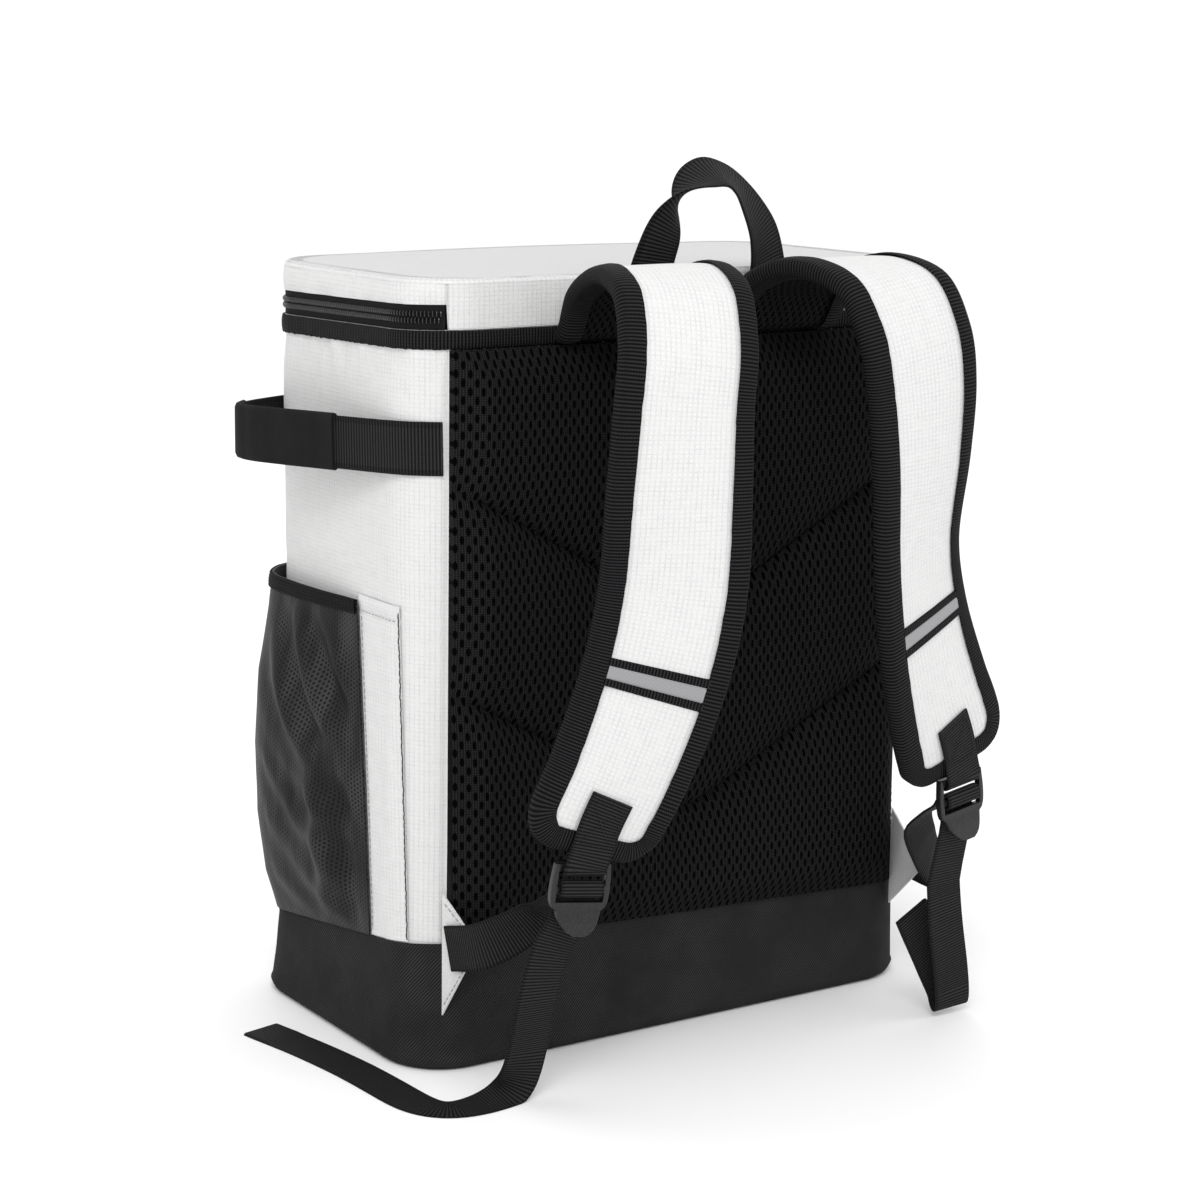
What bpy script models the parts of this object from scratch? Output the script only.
import collections
import math

import bmesh
import bpy
from mathutils import Vector

# Soft cooler backpack standing on its flat base. Metres, +Z up, the wearer's side towards -Y.
# The origin is on the base, midway between the back face and the upper front face.

for old in list(bpy.data.objects):
    bpy.data.objects.remove(old, do_unlink=True)

# Body
body_width = 0.338
body_depth = 0.180
body_height = 0.430
corner_radius = 0.035
body_wall = 0.005
front_flare = 0.016
side_flare = 0.003
base_edge_round = 0.006
round_share = 0.3
seat_gap = 0.0003
seam_turn = 30.0

# Boot, the black cover of the lower body
boot_wall = 0.0015
boot_height_left = 0.074
boot_height_right = 0.061
boot_height_front = 0.050

# Rim, zip and lid, which rises over the rim at the back to the body's full height
lid_height = 0.026
rim_height = body_height - lid_height
rim_drop = 0.005
binding_height = 0.010
binding_wall = 0.0012
zip_height = 0.013
tape_wall = 0.0012
teeth_height = 0.0052
teeth_depth = 0.0016
lid_wall = 0.005
lid_edge_round = 0.004
lid_crown = 0.003
slider_width = 0.009
slider_spacing = 0.014
slider_body_height = 0.010
slider_chamfer = 0.002
slider_pull_length = 0.024
slider_pull_width = 0.0058
slider_wall = 0.003

# Back pad
pad_thickness = 0.013
pad_edge_thickness = 0.003

# Webbing, wide for the handles and narrow for the tabs and adjusters
webbing_width = 0.0285
webbing_wall = 0.0015
thin_webbing_width = 0.025
thin_webbing_wall = 0.0014
hem_length = 0.018
tail_drop = 0.100

# Shoulder straps
strap_width = 0.074
strap_thickness = 0.009
strap_end_thickness = 0.006
strap_taper = 0.030
strap_reach = 0.104
strap_hump = 0.035
strap_tip_left = 0.144
strap_tip_right = 0.157
strap_edge_round = 0.004
strap_edge_share = 0.35
strap_tip_round = 0.018
edging_wall = 0.0010
edging_cover = 0.010
reflector_width = 0.0165
reflector_from_tip = 0.094
reflector_wall = 0.0006
tab_length = 0.031
adjuster_sag = 0.002

# Ladder locks
lock_width = 0.034
lock_length = 0.038
lock_thickness = 0.004
lock_bar = 0.004
lock_lean = 0.13
lock_pitch = 0.02

# Grab handle
grab_spread = 0.078
grab_offset = 0.007
grab_rise = 0.083
grab_lean = 0.004

# Side handles
side_handle_below_rim = 0.062
side_handle_drop = 0.005
sleeve_wall = 0.0009

# Side pockets. The start of each is a share of the body's depth from the middle of the side.
pocket_top = 0.253
pocket_start_top = -0.133
pocket_start_low = -0.217
front_seam_turn = 30.0
pocket_wall = 0.001
pocket_bulge = 0.018
elastic_height = 0.0075
elastic_wall = 0.0012
strip_turn_top = 64.7
strip_turn_low = 30.8
strip_wall = 0.001
strip_out = strip_wall + 3 * seat_gap
strip_rise = 0.003

# Gussets
gusset_wall = 0.0012

parts = bpy.data.collections.new("soft_cooler_backpack")
bpy.context.scene.collection.children.link(parts)


def surface(name, colour, roughness):
    made = bpy.data.materials.new(name)
    made.use_nodes = True
    shader = made.node_tree.nodes["Principled BSDF"]
    shader.inputs["Base Color"].default_value = (*colour, 1.0)
    shader.inputs["Roughness"].default_value = roughness
    shader.inputs["Metallic"].default_value = 0.0
    return made


white_cloth = surface("white_cloth", (0.80, 0.80, 0.79), 0.85)
black_cloth = surface("black_cloth", (0.022, 0.022, 0.024), 0.85)
black_mesh = surface("black_mesh", (0.016, 0.016, 0.017), 0.9)
black_webbing = surface("black_webbing", (0.018, 0.018, 0.019), 0.7)
black_plastic = surface("black_plastic", (0.03, 0.03, 0.032), 0.45)
grey_reflector = surface("grey_reflector", (0.42, 0.42, 0.43), 0.4)


def finish(name, mesh, material):
    mesh.materials.append(material)
    made = bpy.data.objects.new(name, mesh)
    parts.objects.link(made)
    return made


def mix(a, b, share):
    return a + (b - a) * share


def between(rows, key, value, at):
    """The value column at this point of the key column, along straight lines between the rows."""
    for low, high in zip(rows, rows[1:]):
        start = getattr(low, key)
        end = getattr(high, key)
        if at <= end:
            share = min(max((at - start) / (end - start), 0.0), 1.0)
            return mix(getattr(low, value), getattr(high, value), share)
    return getattr(rows[-1], value)


# How much of the base flare is left at each share of the body's height
FlareRow = collections.namedtuple("FlareRow", "height flare")
flare_rows = (
    FlareRow(height=0.00, flare=1.00),
    FlareRow(height=0.06, flare=0.66),
    FlareRow(height=0.12, flare=0.42),
    FlareRow(height=0.30, flare=0.15),
    FlareRow(height=0.70, flare=0.00),
    FlareRow(height=1.00, flare=0.00),
)
corner_turns = (0.0, 15.0, seam_turn, seam_turn + 3.0, 50.0, 70.0, 90.0)
side_steps = 3
face_steps = 5
left_seam = 0
seam_place = corner_turns.index(seam_turn)
right_seam = 4 * len(corner_turns) - 2 * seam_place + 2 * side_steps + face_steps - 4


def body_size(z):
    """Half width, back and front of the body at this height."""
    spread = between(flare_rows, "height", "flare", z / body_height)
    return (
        body_width / 2 + side_flare * spread,
        -body_depth / 2,
        body_depth / 2 + front_flare * spread,
    )


def corner_point(z, turn, side, face, offset):
    """A point on a rounded corner. The turn is 0 at the front or back face and 90 at the side."""
    half, back, front = body_size(z)
    reach = corner_radius + offset
    centre_y = back + corner_radius if face < 0 else front - corner_radius
    x = side * (half - corner_radius + reach * math.sin(math.radians(turn)))
    y = centre_y + face * reach * math.cos(math.radians(turn))
    return x, y


def straight(start, end, steps):
    return [
        (mix(start[0], end[0], i / steps), mix(start[1], end[1], i / steps))
        for i in range(1, steps)
    ]


def plan(z, offset=0.0):
    """The body's outline at a height, from the left back seam round by the front to the same seam."""
    up = list(corner_turns)
    down = up[::-1]
    seam = up.index(seam_turn)
    back_left = [corner_point(z, turn, -1, -1, offset) for turn in up]
    front_left = [corner_point(z, turn, -1, 1, offset) for turn in down]
    front_right = [corner_point(z, turn, 1, 1, offset) for turn in up]
    back_right = [corner_point(z, turn, 1, -1, offset) for turn in down]
    return (
        back_left[seam:]
        + straight(back_left[-1], front_left[0], side_steps)
        + front_left
        + straight(front_left[-1], front_right[0], face_steps)
        + front_right
        + straight(front_right[-1], back_right[0], side_steps)
        + back_right
        + straight(back_right[-1], back_left[0], face_steps)
        + back_left[:seam]
    )


def depth_share(y):
    return (y + body_depth / 2) / body_depth


def rim_level(x, y):
    """The rim sinks a little from the back to the front."""
    return rim_height - rim_drop * depth_share(y)


def boot_level(x, y):
    """The top seam of the boot is highest at the left back corner."""
    across = x / body_width + 0.5
    at_back = mix(boot_height_left, boot_height_right, across)
    return mix(at_back, boot_height_front, min(max(depth_share(y), 0.0), 1.0))


def ring(z, offset=0.0, level=None, rise=0.0):
    """One outline as points in space, flat at z or on a sloping level."""
    points = []
    for index, (x, y) in enumerate(plan(z, offset)):
        height = z if level is None else level(x, y)
        points.append(Vector((*plan(height, offset)[index], height + rise)))
    return points


def shell(name, rings, wall, material, closed=True, floor=False, roof=False):
    """An open surface through the rings, facing out, given its wall inwards."""
    form = bmesh.new()
    rows = [[form.verts.new(point) for point in points] for points in rings]
    count = len(rings[0])
    for low, high in zip(rows, rows[1:]):
        for i in range(count if closed else count - 1):
            j = (i + 1) % count
            form.faces.new((low[i], high[i], high[j], low[j]))
    if floor:
        form.faces.new(rows[0])
    if roof:
        form.faces.new(rows[-1][::-1])
    mesh = bpy.data.meshes.new(name)
    form.to_mesh(mesh)
    form.free()
    made = finish(name, mesh, material)
    solidify = made.modifiers.new("wall", "SOLIDIFY")
    solidify.thickness = wall
    solidify.offset = -1.0
    solidify.use_even_offset = True
    return made


def sweep(name, sections, material, twisted=False):
    """A closed solid through a row of cross-sections. A twisted one has four corners to a section, and its
    two broad faces are split along the same diagonals."""
    form = bmesh.new()
    rows = [[form.verts.new(point) for point in section] for section in sections]
    count = len(sections[0])
    for low, high in zip(rows, rows[1:]):
        for i in range(count):
            j = (i + 1) % count
            if not twisted:
                form.faces.new((low[i], low[j], high[j], high[i]))
            elif i == 0:
                form.faces.new((low[i], low[j], high[j]))
                form.faces.new((low[i], high[j], high[i]))
            else:
                form.faces.new((low[i], low[j], high[i]))
                form.faces.new((low[j], high[j], high[i]))
    form.faces.new(rows[0][::-1])
    form.faces.new(rows[-1])
    bmesh.ops.recalc_face_normals(form, faces=form.faces)
    mesh = bpy.data.meshes.new(name)
    form.to_mesh(mesh)
    form.free()
    return finish(name, mesh, material)


def blend(start, end, low, high, at):
    """The columns of two points mixed by where this value lies between two others."""
    share = (at - low) / (high - low)
    return [mix(a, b, share) for a, b in zip(start, end)]


def smooth_path(points, steps):
    """Points on a smooth curve through the given ones, with no loop where they are unevenly spaced. The
    first three columns are the place in space."""
    before_first = [2 * a - b for a, b in zip(points[0], points[1])]
    after_last = [2 * a - b for a, b in zip(points[-1], points[-2])]
    run = [before_first, *points, after_last]
    made = []
    for four in zip(run, run[1:], run[2:], run[3:]):
        knots = [0.0]
        for start, end in zip(four, four[1:]):
            knots.append(knots[-1] + math.sqrt(math.dist(start[:3], end[:3])))
        for k in range(steps):
            at = mix(knots[1], knots[2], k / steps)
            lines = [blend(four[i], four[i + 1], knots[i], knots[i + 1], at) for i in range(3)]
            curves = [blend(lines[i], lines[i + 1], knots[i], knots[i + 2], at) for i in range(2)]
            made.append(blend(curves[0], curves[1], knots[1], knots[2], at))
    made.append(list(points[-1]))
    return made


RibbonRow = collections.namedtuple("RibbonRow", "x y z across_x across_y across_z layers")


def ribbon_sections(rows, width, wall):
    """Cross-sections of a flat ribbon: each row is a point, the way its width runs, and its layers."""
    centres = [Vector(row[:3]) for row in rows]
    sections = []
    for i, row in enumerate(rows):
        along = (centres[min(i + 1, len(rows) - 1)] - centres[max(i - 1, 0)]).normalized()
        across = Vector(row[3:6])
        across = (across - along * across.dot(along)).normalized()
        side = across * (width / 2)
        up = along.cross(across) * (wall * row[6] / 2)
        sections.append([
            centres[i] + side + up,
            centres[i] - side + up,
            centres[i] - side - up,
            centres[i] + side - up,
        ])
    return sections


def ribbon(name, rows, material, width=webbing_width, wall=webbing_wall, steps=3):
    return sweep(name, ribbon_sections(smooth_path(rows, steps), width, wall), material, twisted=True)


def row_at(point, across, layers=1.0):
    return RibbonRow(*point, *across, layers)


# Insulated body, open at the top
shell_floor = boot_wall + seat_gap
shell(
    "body_shell",
    [
        ring(shell_floor, -base_edge_round),
        ring(shell_floor + round_share * base_edge_round, -round_share * base_edge_round),
        ring(shell_floor + base_edge_round),
        ring(0.06 * body_height),
        ring(0.12 * body_height),
        ring(0.30 * body_height),
        ring(0.70 * body_height),
        ring(rim_height, level=rim_level, rise=-seat_gap),
    ],
    body_wall,
    white_cloth,
    floor=True,
)

# Boot over the lower body
boot_out = seat_gap + boot_wall
shell(
    "base_boot",
    [
        ring(0.0, boot_out - base_edge_round),
        ring(round_share * base_edge_round, boot_out - round_share * base_edge_round),
        ring(base_edge_round, boot_out),
        ring(0.06 * body_height, boot_out),
        ring(0.12 * body_height, boot_out, level=boot_level),
    ],
    boot_wall,
    black_cloth,
    floor=True,
)

# Rim binding, the black band between body and zip
binding_out = seat_gap + binding_wall
shell(
    "rim_binding",
    [
        ring(rim_height, binding_out, level=rim_level, rise=-binding_height),
        ring(rim_height, binding_out, level=rim_level, rise=-seat_gap),
    ],
    binding_wall,
    black_webbing,
)

# Zip round the left side, the front and the right side
tape_out = -seat_gap
zip_inset = 0.05


def zip_ring(offset, rise):
    """The outline between the back seams, ending a little short of the lid's back band."""
    points = ring(rim_height, offset, level=rim_level, rise=rise)[left_seam + 1:right_seam]
    first = points[0].lerp(points[1], zip_inset)
    last = points[-1].lerp(points[-2], zip_inset)
    return [first, *points[1:-1], last]


shell(
    "zip_tape",
    [
        zip_ring(tape_out, 0.0),
        zip_ring(tape_out, zip_height - seat_gap),
    ],
    tape_wall,
    black_webbing,
    closed=False,
)

# Each row is a corner of the teeth's cross-section: out from the tape and up from the middle
TeethRow = collections.namedtuple("TeethRow", "out up")
teeth_rows = (
    TeethRow(out=0.00, up=-0.50),
    TeethRow(out=0.80, up=-0.45),
    TeethRow(out=1.00, up=-0.22),
    TeethRow(out=0.55, up=0.00),
    TeethRow(out=1.00, up=0.22),
    TeethRow(out=0.80, up=0.45),
    TeethRow(out=0.00, up=0.50),
)
teeth_columns = [
    zip_ring(tape_out + seat_gap + row.out * teeth_depth, zip_height / 2 + row.up * teeth_height)
    for row in teeth_rows
]
sweep("zip_teeth", list(zip(*teeth_columns)), black_plastic)


def zip_slider(name, side):
    """A flat slider body with its pull hanging from it, on the zip at the middle of the front."""
    half, back, front = body_size(rim_height)
    middle_x = side * slider_spacing / 2
    middle_z = rim_level(0.0, front) + zip_height / 2
    top = middle_z + slider_body_height / 2
    low = middle_z - slider_body_height / 2
    wide = slider_width / 2
    narrow = slider_pull_width / 2
    outline = (
        (-wide, low), (-narrow, low), (-narrow, low - slider_pull_length), (narrow, low - slider_pull_length),
        (narrow, low), (wide, low), (wide, top - slider_chamfer), (narrow, top), (-narrow, top),
        (-wide, top - slider_chamfer),
    )
    face = front + tape_out + seat_gap + teeth_depth + seat_gap
    near = [Vector((middle_x + x, face, z)) for x, z in outline]
    far = [Vector((middle_x + x, face + slider_wall, z)) for x, z in outline]
    sweep(name, [near, far], black_plastic)


zip_slider("zip_slider_left", -1)
zip_slider("zip_slider_right", 1)

# Lid, with its back band down to the rim and its side bands down to the zip
lid_points = plan(body_height)
lid_low = []
for index, (x, y) in enumerate(lid_points):
    on_zip = left_seam < index < right_seam
    rise = zip_height if on_zip else 0.0
    lid_low.append(Vector((x, y, rim_level(x, y) + rise)))
lid_top = body_height - lid_crown
shell(
    "lid",
    [
        lid_low,
        ring(lid_top - lid_edge_round),
        ring(lid_top - round_share * lid_edge_round, -round_share * lid_edge_round),
        ring(lid_top, -lid_edge_round),
        ring(lid_top + 0.6 * lid_crown, -0.5 * corner_radius),
        ring(lid_top + lid_crown, -0.95 * corner_radius),
    ],
    lid_wall,
    white_cloth,
    roof=True,
)

# Back pad: chevron rows from its foot to its top. The edge and middle columns are shares of the pad's
# height at its sides and on its centre line, and the fill is its share of the full thickness.
PadRow = collections.namedtuple("PadRow", "edge middle fill")
pad_rows = (
    PadRow(edge=0.000, middle=0.000, fill=0.00),
    PadRow(edge=0.030, middle=0.030, fill=0.72),
    PadRow(edge=0.200, middle=0.080, fill=1.00),
    PadRow(edge=0.400, middle=0.152, fill=0.86),
    PadRow(edge=0.430, middle=0.182, fill=0.22),
    PadRow(edge=0.460, middle=0.212, fill=0.86),
    PadRow(edge=0.600, middle=0.350, fill=1.00),
    PadRow(edge=0.745, middle=0.487, fill=0.86),
    PadRow(edge=0.775, middle=0.517, fill=0.22),
    PadRow(edge=0.805, middle=0.547, fill=0.86),
    PadRow(edge=0.880, middle=0.720, fill=1.00),
    PadRow(edge=0.965, middle=0.965, fill=0.80),
    PadRow(edge=1.000, middle=1.000, fill=0.00),
)
# Columns from the left edge of the pad to its right edge. Flat is a share of the flat part of the back
# and turn goes on round the corner in degrees.
PadColumn = collections.namedtuple("PadColumn", "flat turn fill")
pad_columns = (
    PadColumn(flat=-1.00, turn=28.0, fill=0.00),
    PadColumn(flat=-1.00, turn=15.0, fill=0.75),
    PadColumn(flat=-1.00, turn=0.0, fill=0.96),
    PadColumn(flat=-0.72, turn=0.0, fill=1.00),
    PadColumn(flat=-0.42, turn=0.0, fill=1.00),
    PadColumn(flat=-0.14, turn=0.0, fill=1.00),
    PadColumn(flat=0.00, turn=0.0, fill=1.00),
    PadColumn(flat=0.14, turn=0.0, fill=1.00),
    PadColumn(flat=0.42, turn=0.0, fill=1.00),
    PadColumn(flat=0.72, turn=0.0, fill=1.00),
    PadColumn(flat=1.00, turn=0.0, fill=0.96),
    PadColumn(flat=1.00, turn=15.0, fill=0.75),
    PadColumn(flat=1.00, turn=28.0, fill=0.00),
)


def back_point(column, z, offset):
    """A point on the back face at this column, following the rounded corners."""
    if column.turn > 0.0:
        return corner_point(z, column.turn, math.copysign(1.0, column.flat), -1, offset)
    half, back, front = body_size(z)
    return column.flat * (half - corner_radius), back - offset


def back_pad():
    half = back_point(pad_columns[-1], rim_height, 0.0)[0]
    form = bmesh.new()
    near = []
    far = []
    for row in pad_rows:
        near.append([])
        far.append([])
        for column in pad_columns:
            x, y = back_point(column, rim_height, seat_gap)
            low = boot_level(x, y) + 2 * seat_gap
            high = rim_level(x, y) - binding_height - seat_gap
            z = mix(low, high, mix(row.middle, row.edge, min(abs(x) / half, 1.0)))
            x, y = back_point(column, z, seat_gap)
            full = pad_edge_thickness + (pad_thickness - pad_edge_thickness) * row.fill * column.fill
            far[-1].append(form.verts.new((x, y, z)))
            near[-1].append(form.verts.new((x, y - full, z)))
    across = len(pad_columns) - 1
    upward = len(pad_rows) - 1
    for r in range(upward):
        for c in range(across):
            form.faces.new((near[r][c], near[r][c + 1], near[r + 1][c + 1], near[r + 1][c]))
            form.faces.new((far[r][c], far[r + 1][c], far[r + 1][c + 1], far[r][c + 1]))
    for c in range(across):
        form.faces.new((near[0][c], far[0][c], far[0][c + 1], near[0][c + 1]))
        form.faces.new((near[-1][c], near[-1][c + 1], far[-1][c + 1], far[-1][c]))
    for r in range(upward):
        form.faces.new((near[r][0], near[r + 1][0], far[r + 1][0], far[r][0]))
        form.faces.new((near[r][-1], far[r][-1], far[r + 1][-1], near[r + 1][-1]))
    bmesh.ops.recalc_face_normals(form, faces=form.faces)
    mesh = bpy.data.meshes.new("back_pad")
    form.to_mesh(mesh)
    form.free()
    finish("back_pad", mesh, black_mesh)


back_pad()

# Left shoulder strap's middle line, from its foot at the rim to its tip. The side column is a share of
# half the body's width, out is a share of the strap's reach from the back face, rise is a share of the
# hump over the foot, fall is a share of the drop to the tip, and turn is how far the face looks outwards.
StrapRow = collections.namedtuple("StrapRow", "side out rise fall turn")
strap_rows = (
    StrapRow(side=0.314, out=0.024, rise=0.00, fall=0.000, turn=0),
    StrapRow(side=0.314, out=0.084, rise=0.04, fall=0.000, turn=0),
    StrapRow(side=0.320, out=0.192, rise=0.60, fall=0.000, turn=0),
    StrapRow(side=0.337, out=0.385, rise=0.92, fall=0.000, turn=0),
    StrapRow(side=0.367, out=0.625, rise=1.00, fall=0.000, turn=0),
    StrapRow(side=0.402, out=0.846, rise=1.00, fall=0.031, turn=2),
    StrapRow(side=0.432, out=0.971, rise=1.00, fall=0.116, turn=5),
    StrapRow(side=0.456, out=1.000, rise=1.00, fall=0.219, turn=7),
    StrapRow(side=0.467, out=1.000, rise=1.00, fall=0.356, turn=13),
    StrapRow(side=0.474, out=0.971, rise=1.00, fall=0.545, turn=20),
    StrapRow(side=0.530, out=0.942, rise=1.00, fall=0.705, turn=18),
    StrapRow(side=0.628, out=0.898, rise=1.00, fall=0.860, turn=12),
    StrapRow(side=0.700, out=0.865, rise=1.00, fall=0.950, turn=8),
    StrapRow(side=0.728, out=0.850, rise=1.00, fall=1.000, turn=6),
)


class Strap:
    """A strap's own flat sheet: along its length, across it and out from its face, laid on its curve."""

    def __init__(self, side, tip_height):
        self.side = side
        self.points = []
        self.turns = []
        foot = rim_level(0.0, -body_depth / 2) - binding_height / 2
        fall = foot + strap_hump - tip_height
        rows = []
        for row in strap_rows:
            rows.append((
                side * row.side * body_width / 2,
                -body_depth / 2 - row.out * strap_reach,
                foot + row.rise * strap_hump - row.fall * fall,
                row.turn,
            ))
        for x, y, z, turn in smooth_path(rows, 8):
            self.points.append(Vector((x, y, z)))
            self.turns.append(math.radians(turn))
        self.lengths = [0.0]
        for start, end in zip(self.points, self.points[1:]):
            self.lengths.append(self.lengths[-1] + (end - start).length)
        self.length = self.lengths[-1]

    def frame(self, along):
        """The middle point at this length with its three directions: along, across and facing."""
        last = len(self.points) - 1
        i = 0
        while i < last - 1 and self.lengths[i + 1] < along:
            i += 1
        span = self.lengths[i + 1] - self.lengths[i]
        share = (along - self.lengths[i]) / span
        centre = self.points[i].lerp(self.points[i + 1], share)
        ahead = self.points[min(i + 2, last)] - self.points[i]
        behind = self.points[i + 1] - self.points[max(i - 1, 0)]
        direction = behind.normalized().lerp(ahead.normalized(), min(max(share, 0.0), 1.0)).normalized()
        across = Vector((1.0, 0.0, 0.0))
        across = (across - direction * across.dot(direction)).normalized()
        facing = direction.cross(across)
        turn = mix(self.turns[i], self.turns[i + 1], share)
        turned_facing = facing * math.cos(turn) + across * (self.side * math.sin(turn))
        turned_across = across * math.cos(turn) - facing * (self.side * math.sin(turn))
        return centre, direction, turned_across, turned_facing

    def place(self, along, across, out):
        centre, direction, right, facing = self.frame(along)
        return centre + right * across + facing * out

    def half_thickness(self, along):
        """Full on most of the strap, thinner towards the foot and the tip."""
        to_end = min(along, self.length - along)
        share = min(max(to_end / strap_taper, 0.0), 1.0)
        return mix(strap_end_thickness, strap_thickness, share) / 2


strap_tip_steps = 4
strap_steps = 22
strap_crowding = 1.2


def strap_outline(length, half):
    """Half of a strap's flat outline, closer steps at the foot, then its rounded tip."""
    straight_end = length - strap_tip_round
    outline = [(straight_end * (i / strap_steps) ** strap_crowding, half) for i in range(strap_steps)]
    for k in range(strap_tip_steps + 1):
        turn = math.radians(90 * k / strap_tip_steps)
        outline.append((
            straight_end + strap_tip_round * math.sin(turn),
            half - strap_tip_round + strap_tip_round * math.cos(turn),
        ))
    return outline


def strap_body(name, strap):
    sections = []
    for along, half in strap_outline(strap.length, strap_width / 2):
        deep = strap.half_thickness(along)
        edge = strap_edge_share * deep
        flat = half - strap_edge_round
        corners = (
            (-half, -edge), (-flat, -deep), (flat, -deep), (half, -edge),
            (half, edge), (flat, deep), (-flat, deep), (-half, edge),
        )
        sections.append([strap.place(along, across, out) for across, out in corners])
    sweep(name, sections, white_cloth)


def strap_edging(name, strap):
    """The folded webbing round both edges and the tip, a U in section."""
    half_outline = strap_outline(strap.length, strap_width / 2)[1:]
    outline = [(along, -half) for along, half in half_outline]
    outline += [(along, half) for along, half in reversed(half_outline)]
    sections = []
    last = len(outline) - 1
    for i, (along, across) in enumerate(outline):
        before = Vector(outline[max(i - 1, 0)])
        after = Vector(outline[min(i + 1, last)])
        heading = (after - before).normalized()
        outward = Vector((heading.y, -heading.x))
        gap = 2 * seat_gap
        rim = gap + edging_wall
        corners = (
            (-edging_cover, 1, rim), (rim, 1, rim), (rim, -1, rim), (-edging_cover, -1, rim),
            (-edging_cover, -1, gap), (gap, -1, gap), (gap, 1, gap), (-edging_cover, 1, gap),
        )
        section = []
        for push, face, rise in corners:
            place = along + outward.x * push
            out = face * (strap.half_thickness(place) + rise)
            section.append(strap.place(place, across + outward.y * push, out))
        sections.append(section)
    sweep(name, sections, black_webbing)


def strap_reflector(name, strap):
    """A flat band across the strap's face between the edgings."""
    half = strap_width / 2 - edging_cover - seat_gap
    start = strap.length - reflector_from_tip - reflector_width / 2
    sections = []
    for step in range(4):
        along = start + reflector_width * step / 3
        low = strap.half_thickness(along) + 3 * seat_gap
        high = low + reflector_wall
        sections.append([
            strap.place(along, -half, low), strap.place(along, half, low),
            strap.place(along, half, high), strap.place(along, -half, high),
        ])
    sweep(name, sections, grey_reflector)


# Stations along the tab, as shares of its length back from the strap's tip
tab_stations = (1.0, 0.75, 0.5, 0.25)
tab_loop = math.hypot(lock_bar, lock_thickness) / 2 + 2 * seat_gap + thin_webbing_wall / 2


def tab_rise(strap):
    """How far the tab's middle lies out from the strap's middle, clear of the edging at the tip."""
    edging = strap.half_thickness(strap.length - edging_cover) + 2 * seat_gap + edging_wall
    return edging + 2 * seat_gap + thin_webbing_wall / 2


def strap_tab(name, strap, lock):
    """The webbing that is sewn on the strap's tip and looped round the lock's top bar."""
    tip = strap.frame(strap.length)
    out = tab_rise(strap)
    rows = []
    for share in tab_stations:
        across = strap.frame(strap.length - share * tab_length)[2]
        rows.append(row_at(strap.place(strap.length - share * tab_length, 0.0, out), across))
    rows.append(row_at(strap.place(strap.length, 0.0, out), tip[2].lerp(lock.across, 0.5)))
    for turn in (90, 45, 0, -45, -90):
        down = tab_loop * math.cos(math.radians(turn))
        rise = tab_loop * math.sin(math.radians(turn))
        rows.append(row_at(lock.place(0.0, down, rise), lock.across))
    rows.append(row_at(lock.place(0.0, -0.6 * lock_bar, -tab_loop), lock.across))
    ribbon(name, rows, black_webbing, width=thin_webbing_width, wall=thin_webbing_wall, steps=1)


class Lock:
    """The lock's own directions: across it, down its length and out from its face."""

    def __init__(self, strap):
        self.side = strap.side
        along, right, facing = strap.frame(strap.length)[1:]
        self.down = Vector((strap.side * lock_lean, lock_pitch, -1.0)).normalized()
        self.out = (facing - self.down * facing.dot(self.down)).normalized()
        self.across = self.out.cross(self.down)
        rise = tab_rise(strap) - tab_loop
        self.origin = strap.place(strap.length, 0.0, rise) + along * (tab_loop + lock_bar)

    def place(self, across, down, out):
        return self.origin + self.across * across + self.down * down + self.out * out


# Rows down the ladder lock as shares of its length from the middle of its top bar, with the width there
# as a share of the full width, the lift of the thumb end, and whether a slot follows the row
LockRow = collections.namedtuple("LockRow", "down width lift slot")
lock_rows = (
    LockRow(down=-0.053, width=1.00, lift=0.00, slot=False),
    LockRow(down=0.053, width=1.00, lift=0.00, slot=True),
    LockRow(down=0.263, width=1.00, lift=0.00, slot=False),
    LockRow(down=0.355, width=1.00, lift=0.00, slot=True),
    LockRow(down=0.487, width=1.00, lift=0.00, slot=False),
    LockRow(down=0.592, width=1.00, lift=0.00, slot=False),
    LockRow(down=0.700, width=0.90, lift=0.03, slot=False),
    LockRow(down=0.830, width=0.74, lift=0.08, slot=False),
    LockRow(down=0.930, width=0.50, lift=0.13, slot=False),
)
lock_columns = (-1.0, -0.82, 0.82, 1.0)


def ladder_lock(name, lock):
    form = bmesh.new()
    layers = []
    for half in (lock_thickness / 2, -lock_thickness / 2):
        layers.append([
            [
                form.verts.new(lock.place(
                    column * row.width * lock_width / 2,
                    row.down * lock_length,
                    row.lift * lock_length + half,
                ))
                for column in lock_columns
            ]
            for row in lock_rows
        ])
    cells = [
        (r, c)
        for r in range(len(lock_rows) - 1)
        for c in range(len(lock_columns) - 1)
        if not (lock_rows[r].slot and c == 1)
    ]
    front, behind = layers
    for r, c in cells:
        corners = ((r, c), (r + 1, c), (r + 1, c + 1), (r, c + 1))
        form.faces.new([front[i][j] for i, j in corners])
        form.faces.new([behind[i][j] for i, j in corners[::-1]])
        beside = ((r, c - 1), (r + 1, c), (r, c + 1), (r - 1, c))
        for k, neighbour in enumerate(beside):
            if neighbour not in cells:
                (i, j), (m, n) = corners[k], corners[(k + 1) % 4]
                form.faces.new((front[i][j], behind[i][j], behind[m][n], front[m][n]))
    bmesh.ops.recalc_face_normals(form, faces=form.faces)
    mesh = bpy.data.meshes.new(name)
    form.to_mesh(mesh)
    form.free()
    finish(name, mesh, black_plastic)


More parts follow.
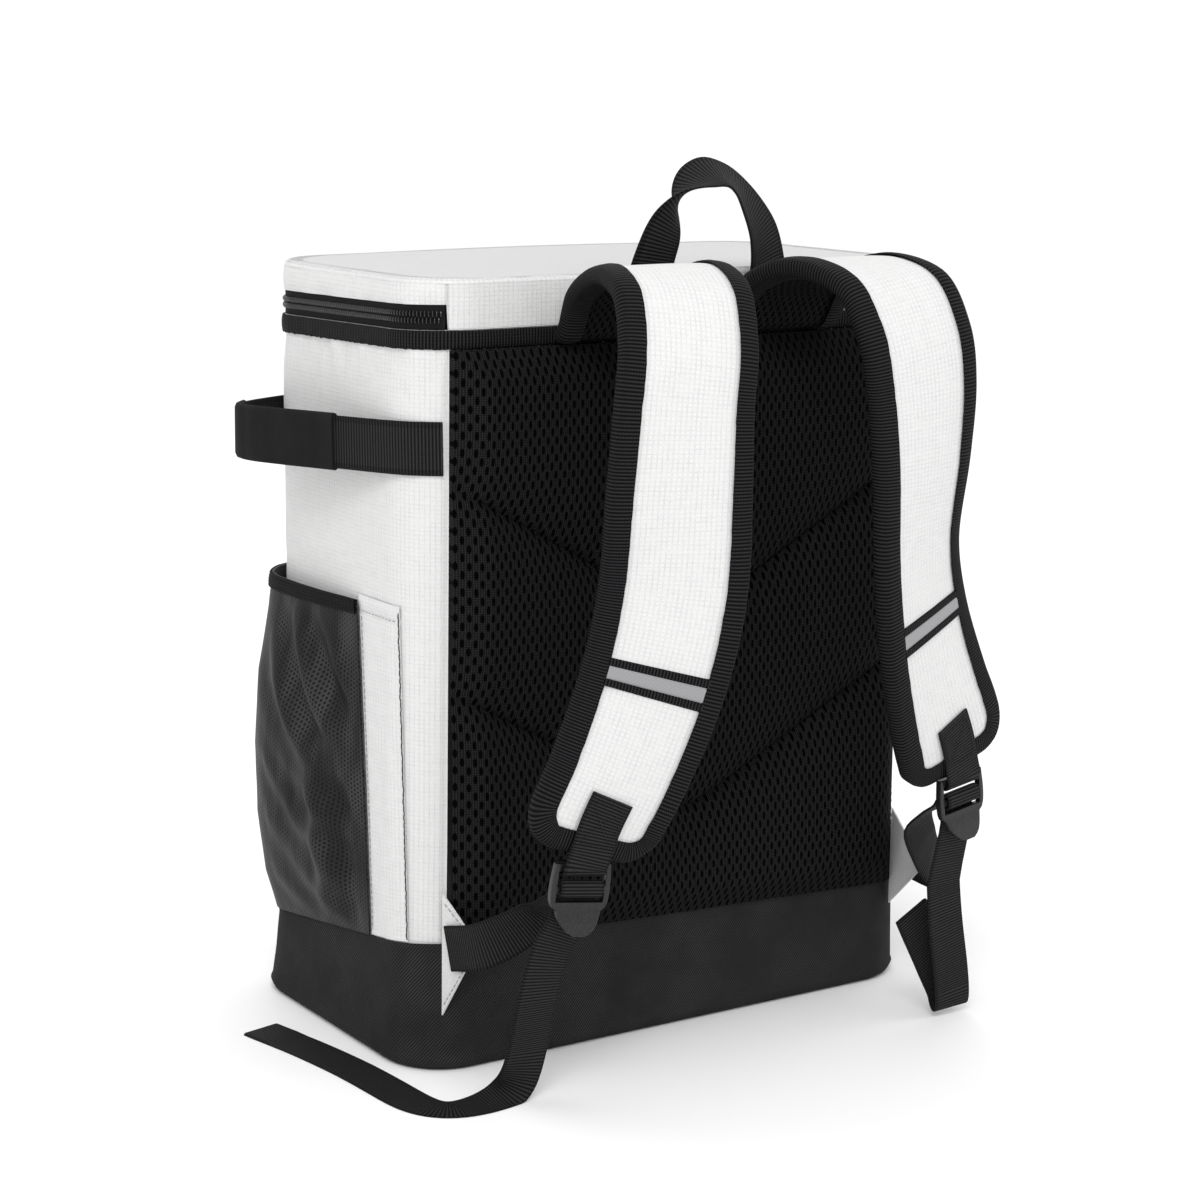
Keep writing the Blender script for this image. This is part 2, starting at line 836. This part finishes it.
# Each gusset is a triangle from the side seam to its tip. Its three heights are shares of the body's
# height, the tip's side a share of half the body's width and its out a share of the strap's reach.
GussetRow = collections.namedtuple("GussetRow", "side top bottom tip_side tip_out tip_height")
left_gusset = GussetRow(side=-1, top=0.237, bottom=0.077, tip_side=0.890, tip_out=0.27, tip_height=0.186)
right_gusset = GussetRow(side=1, top=0.244, bottom=0.107, tip_side=0.905, tip_out=0.30, tip_height=0.181)


class Gusset:
    """A gusset's corners on its middle plane and the direction of its outer face."""

    def __init__(self, row):
        root_offset = boot_out + seat_gap + gusset_wall
        low = row.bottom * body_height
        x, y = corner_point(low, seam_turn, row.side, -1, root_offset)
        self.side = row.side
        self.top = Vector((x, y, row.top * body_height))
        self.bottom = Vector((x, y, low))
        self.tip = Vector((
            row.side * row.tip_side * body_width / 2,
            -body_depth / 2 - row.tip_out * strap_reach,
            row.tip_height * body_height,
        ))
        facing = (self.bottom - self.top).cross(self.tip - self.top).normalized()
        self.out = facing if facing.x * row.side > 0 else -facing


def gusset_flap(name, gusset):
    push = gusset.out * (gusset_wall / 2)
    corners = (gusset.top, gusset.bottom, gusset.tip)
    sweep(name, [[c - push for c in corners], [c + push for c in corners]], white_cloth)


# The adjuster webbing through the lock, in shares of the lock's length: up behind it, out through the
# upper slot, down over the centre bar, in through the lower slot and down behind the last bar
ThreadRow = collections.namedtuple("ThreadRow", "down out")
thread_rows = (
    ThreadRow(down=0.900, out=-0.900),
    ThreadRow(down=0.600, out=-0.500),
    ThreadRow(down=0.421, out=-0.250),
    ThreadRow(down=0.276, out=-0.137),
    ThreadRow(down=0.195, out=0.000),
    ThreadRow(down=0.221, out=0.084),
    ThreadRow(down=0.303, out=0.098),
    ThreadRow(down=0.371, out=0.087),
    ThreadRow(down=0.421, out=0.000),
    ThreadRow(down=0.437, out=-0.068),
    ThreadRow(down=0.500, out=-0.094),
    ThreadRow(down=0.684, out=-0.100),
)

# The loose tail of each adjuster down to its hem. The side is a share of half the body's width, out a
# share of the strap's reach from the back face, lift a share of the tail's drop, and the last three say
# which way the webbing's width runs.
TailRow = collections.namedtuple("TailRow", "side out lift across_x across_y across_z")
left_tail = (
    TailRow(side=0.817, out=0.750, lift=0.88, across_x=1.0, across_y=0.0, across_z=-0.3),
    TailRow(side=0.834, out=0.692, lift=0.62, across_x=1.0, across_y=0.0, across_z=-0.1),
    TailRow(side=0.834, out=0.596, lift=0.27, across_x=1.0, across_y=0.0, across_z=0.0),
    TailRow(side=0.845, out=0.520, lift=0.11, across_x=0.9, across_y=-0.5, across_z=0.3),
    TailRow(side=0.880, out=0.478, lift=0.02, across_x=0.3, across_y=-1.0, across_z=0.2),
    TailRow(side=0.950, out=0.480, lift=0.00, across_x=0.0, across_y=-1.0, across_z=0.0),
    TailRow(side=1.030, out=0.480, lift=0.00, across_x=-0.1, across_y=-1.0, across_z=0.0),
    TailRow(side=1.100, out=0.410, lift=0.00, across_x=-0.7, across_y=-0.7, across_z=0.0),
    TailRow(side=1.128, out=0.250, lift=0.00, across_x=-1.0, across_y=-0.1, across_z=0.0),
    TailRow(side=1.132, out=0.000, lift=0.00, across_x=-1.0, across_y=0.0, across_z=0.0),
    TailRow(side=1.148, out=-0.290, lift=0.00, across_x=-1.0, across_y=-0.1, across_z=0.0),
    TailRow(side=1.183, out=-0.670, lift=0.00, across_x=-1.0, across_y=-0.2, across_z=0.0),
    TailRow(side=1.237, out=-1.080, lift=0.00, across_x=-1.0, across_y=-0.25, across_z=0.0),
)
right_tail = (
    TailRow(side=0.757, out=0.740, lift=0.74, across_x=-1.0, across_y=0.0, across_z=-0.25),
    TailRow(side=0.805, out=0.725, lift=0.42, across_x=-1.0, across_y=0.0, across_z=-0.20),
    TailRow(side=0.838, out=0.712, lift=0.14, across_x=-1.0, across_y=0.0, across_z=-0.05),
    TailRow(side=0.846, out=0.690, lift=0.04, across_x=-1.0, across_y=0.0, across_z=0.00),
    TailRow(side=0.846, out=0.654, lift=0.04, across_x=-1.0, across_y=0.0, across_z=0.00),
    TailRow(side=0.838, out=0.632, lift=0.15, across_x=-1.0, across_y=0.0, across_z=0.08),
    TailRow(side=0.785, out=0.620, lift=0.34, across_x=-1.0, across_y=0.0, across_z=0.40),
    TailRow(side=0.692, out=0.610, lift=0.65, across_x=-1.0, across_y=0.0, across_z=0.45),
)


# Shares from the gusset's bottom to its top, and from there to its tip
adjuster_root = 0.55
adjuster_start = 0.25
adjuster_edge = 1.10
adjuster_steps = 4


def adjuster(name, gusset, lock, tail):
    """One webbing from the gusset up to the lock, through it and down to the hem of its tail."""
    side = gusset.side
    root = gusset.bottom.lerp(gusset.top, adjuster_root)
    lifted = gusset.out * (gusset_wall / 2 + 3 * seat_gap + thin_webbing_wall / 2)
    leaving = (gusset.tip - root).normalized()
    across = gusset.out.cross(leaving) * side
    lock_across = lock.across * -side
    start = root.lerp(gusset.tip, adjuster_start) + lifted
    edge = root.lerp(gusset.tip, adjuster_edge) + lifted
    behind = lock.place(0.0, thread_rows[0].down * lock_length, thread_rows[0].out * lock_length)
    rows = [
        row_at(start, across),
        row_at(edge, across),
        row_at(edge.lerp(behind, 0.5) - Vector((0.0, 0.0, adjuster_sag)), across.lerp(lock_across, 0.4)),
    ]
    for row in thread_rows:
        turned = across.lerp(lock_across, 0.75) if row is thread_rows[0] else lock_across
        rows.append(row_at(lock.place(0.0, row.down * lock_length, row.out * lock_length), turned))
    for row in tail:
        point = (
            side * row.side * body_width / 2,
            -body_depth / 2 - row.out * strap_reach,
            row.lift * tail_drop,
        )
        rows.append(row_at(point, row[3:]))
    rows = smooth_path(rows, adjuster_steps)
    end = Vector(rows[-1][:3])
    hemmed = []
    for x, y, z, *across, layers in rows:
        near = (end - Vector((x, y, z))).length < hem_length
        hemmed.append((x, y, z, *across, 2.0 if near else 1.0))
    sections = ribbon_sections(hemmed, thin_webbing_width, thin_webbing_wall)
    for section in sections:
        lift = max(seat_gap - min(point.z for point in section), 0.0)
        for point in section:
            point.z += lift
    sweep(name, sections, black_webbing, twisted=True)


def strap_set(word, side, tip_height, gusset_row, tail):
    """One shoulder strap with its edging, reflector, tab, lock, adjuster and gusset."""
    strap = Strap(side, tip_height)
    lock = Lock(strap)
    gusset = Gusset(gusset_row)
    strap_body("strap_" + word, strap)
    strap_edging("strap_edging_" + word, strap)
    strap_reflector("reflector_" + word, strap)
    strap_tab("strap_tab_" + word, strap, lock)
    ladder_lock("ladder_lock_" + word, lock)
    gusset_flap("gusset_" + word, gusset)
    adjuster("adjuster_" + word, gusset, lock, tail)


strap_set("left", -1, strap_tip_left, left_gusset, left_tail)
strap_set("right", 1, strap_tip_right, right_gusset, right_tail)

# Left half of the grab handle from its foot to its middle. The side is a share of half its spread, rise
# a share of its height over the foot and lean a share of its lean away from the back.
GrabRow = collections.namedtuple("GrabRow", "side rise lean across_x across_y across_z")
grab_rows = (
    GrabRow(side=1.00, rise=0.00, lean=0.00, across_x=-1.0, across_y=0.00, across_z=0.0),
    GrabRow(side=1.00, rise=0.14, lean=0.02, across_x=-1.0, across_y=0.00, across_z=0.0),
    GrabRow(side=0.97, rise=0.33, lean=0.60, across_x=-0.96, across_y=0.25, across_z=0.0),
    GrabRow(side=0.86, rise=0.57, lean=0.95, across_x=-0.92, across_y=0.36, across_z=0.2),
    GrabRow(side=0.66, rise=0.78, lean=1.00, across_x=-0.75, across_y=0.55, across_z=0.4),
    GrabRow(side=0.38, rise=0.93, lean=1.00, across_x=-0.45, across_y=0.75, across_z=0.5),
    GrabRow(side=0.00, rise=1.00, lean=1.00, across_x=0.0, across_y=0.85, across_z=0.5),
)


def grab_handle():
    foot_y = -body_depth / 2 - seat_gap - webbing_wall
    foot_z = rim_height + 2 * seat_gap
    left = []
    for row in grab_rows:
        left.append(RibbonRow(
            grab_offset - row.side * grab_spread / 2,
            foot_y - row.lean * grab_lean,
            foot_z + row.rise * grab_rise,
            row.across_x, row.across_y, row.across_z, 1.0,
        ))
    right = [
        row._replace(x=2 * grab_offset - row.x, across_x=-row.across_x) for row in left[-2::-1]
    ]
    ribbon("grab_handle", left + right, black_webbing)


grab_handle()

# A side handle seen from above, from the back seam to the front seam. The side is a share of half the
# body's width and deep a share of half its depth.
HandleRow = collections.namedtuple("HandleRow", "side deep")
handle_rows = (
    HandleRow(side=0.911, deep=-0.951),
    HandleRow(side=0.982, deep=-0.818),
    HandleRow(side=1.022, deep=-0.667),
    HandleRow(side=1.065, deep=-0.444),
    HandleRow(side=1.112, deep=-0.167),
    HandleRow(side=1.172, deep=0.167),
    HandleRow(side=1.207, deep=0.422),
    HandleRow(side=1.201, deep=0.578),
    HandleRow(side=1.136, deep=0.733),
    HandleRow(side=1.020, deep=0.860),
    HandleRow(side=0.911, deep=0.957),
)
handle_steps = 3
sleeve_first = 12
sleeve_last = 23


def side_handle(word, side):
    rows = []
    for row in handle_rows:
        share = (row.deep + 1.0) / 2
        rows.append(RibbonRow(
            side * row.side * body_width / 2,
            row.deep * body_depth / 2,
            rim_height - side_handle_below_rim - share * side_handle_drop,
            0.0, 0.0, 1.0, 1.0,
        ))
    path = smooth_path(rows, handle_steps)
    sweep("side_handle_" + word, ribbon_sections(path, webbing_width, webbing_wall), black_webbing)
    clear = 2 * (seat_gap + sleeve_wall)
    sleeve = ribbon_sections(path, webbing_width + clear, webbing_wall + clear)
    sections = [section[::-1] for section in sleeve[sleeve_first:sleeve_last + 1]]
    shell("handle_sleeve_" + word, sections, sleeve_wall, black_webbing)


side_handle("left", -1)
side_handle("right", 1)

# Pocket bulge up its height, and along its run from the strip to the front seam, as shares
PocketRow = collections.namedtuple("PocketRow", "up bulge")
pocket_rows = (
    PocketRow(up=0.00, bulge=0.06),
    PocketRow(up=0.12, bulge=0.55),
    PocketRow(up=0.30, bulge=0.90),
    PocketRow(up=0.50, bulge=1.00),
    PocketRow(up=0.72, bulge=0.84),
    PocketRow(up=0.90, bulge=0.48),
    PocketRow(up=1.00, bulge=0.34),
)
PocketColumn = collections.namedtuple("PocketColumn", "run bulge")
pocket_columns = (
    PocketColumn(run=0.00, bulge=0.02),
    PocketColumn(run=0.12, bulge=0.32),
    PocketColumn(run=0.28, bulge=0.70),
    PocketColumn(run=0.48, bulge=0.95),
    PocketColumn(run=0.66, bulge=1.00),
    PocketColumn(run=0.80, bulge=0.88),
    PocketColumn(run=0.92, bulge=0.50),
    PocketColumn(run=1.00, bulge=0.10),
)


def side_point(side, run, start, z, offset):
    """A place on the side panel, as a share of the run from the start to the front seam."""
    half, back, front = body_size(z)
    bend = front - corner_radius
    arc = corner_radius * math.radians(90.0 - front_seam_turn)
    length = run * (bend - start + arc)
    if length <= bend - start:
        return Vector((side * (half + offset), start + length, z))
    turn = 90.0 - math.degrees((length - bend + start) / corner_radius)
    return Vector((*corner_point(z, turn, side, 1, offset), z))


def pocket_start_at(up):
    """The pocket leans: its edge is further back at the boot than at the top."""
    return mix(pocket_start_low, pocket_start_top, up) * body_depth


def pocket_ring(side, up, bulge, offset):
    points = []
    for column in pocket_columns:
        start = pocket_start_at(up)
        z = pocket_top
        for _ in range(3):
            foot = side_point(side, column.run, start, z, 0.0)
            z = mix(boot_level(foot.x, foot.y) + 2 * seat_gap, pocket_top, up)
        out = offset + pocket_bulge * bulge * column.bulge
        points.append(side_point(side, column.run, start, z, out))
    return points if side < 0 else points[::-1]


def side_pocket(word, side):
    """An open-topped pocket of one cloth, with a narrow elastic binding round its top edge."""
    close = strip_out + pocket_wall
    rings = [pocket_ring(side, row.up, row.bulge, close) for row in pocket_rows]
    shell("pocket_" + word, rings, pocket_wall, black_cloth, closed=False)
    out = close + seat_gap + elastic_wall
    low = 1.0 - elastic_height / (pocket_top - boot_height_left)
    low_bulge = between(pocket_rows, "up", "bulge", low)
    top = [point + Vector((0.0, 0.0, seat_gap)) for point in pocket_ring(side, 1.0, pocket_rows[-1].bulge, out)]
    shell("pocket_elastic_" + word, [pocket_ring(side, low, low_bulge, out), top], elastic_wall,
          black_webbing, closed=False)


def side_strip(word, side):
    """The white panel edge behind each pocket, a flat strip of cloth on the side and round its corner."""
    rings = []
    for up in (0.0, 0.25, 0.5, 0.75, 1.0):
        end = pocket_start_at(up)
        bend = corner_radius - body_depth / 2
        first_turn = mix(strip_turn_low, strip_turn_top, up)
        points = []
        for share in (0.0, 0.25, 0.5, 0.75, 1.0, 1.5, 2.0):
            turn = mix(first_turn, 90.0, min(share, 1.0))
            z = pocket_top + strip_rise
            for _ in range(3):
                x, y = corner_point(z, turn, side, -1, strip_out)
                y += max(share - 1.0, 0.0) * (end - bend)
                z = mix(boot_level(x, y) + 2 * seat_gap, pocket_top + strip_rise, up)
            points.append(Vector((x, y, z)))
        rings.append(points if side < 0 else points[::-1])
    shell("side_strip_" + word, rings, strip_wall, white_cloth, closed=False)


for word, side in (("left", -1), ("right", 1)):
    side_pocket(word, side)
    side_strip(word, side)
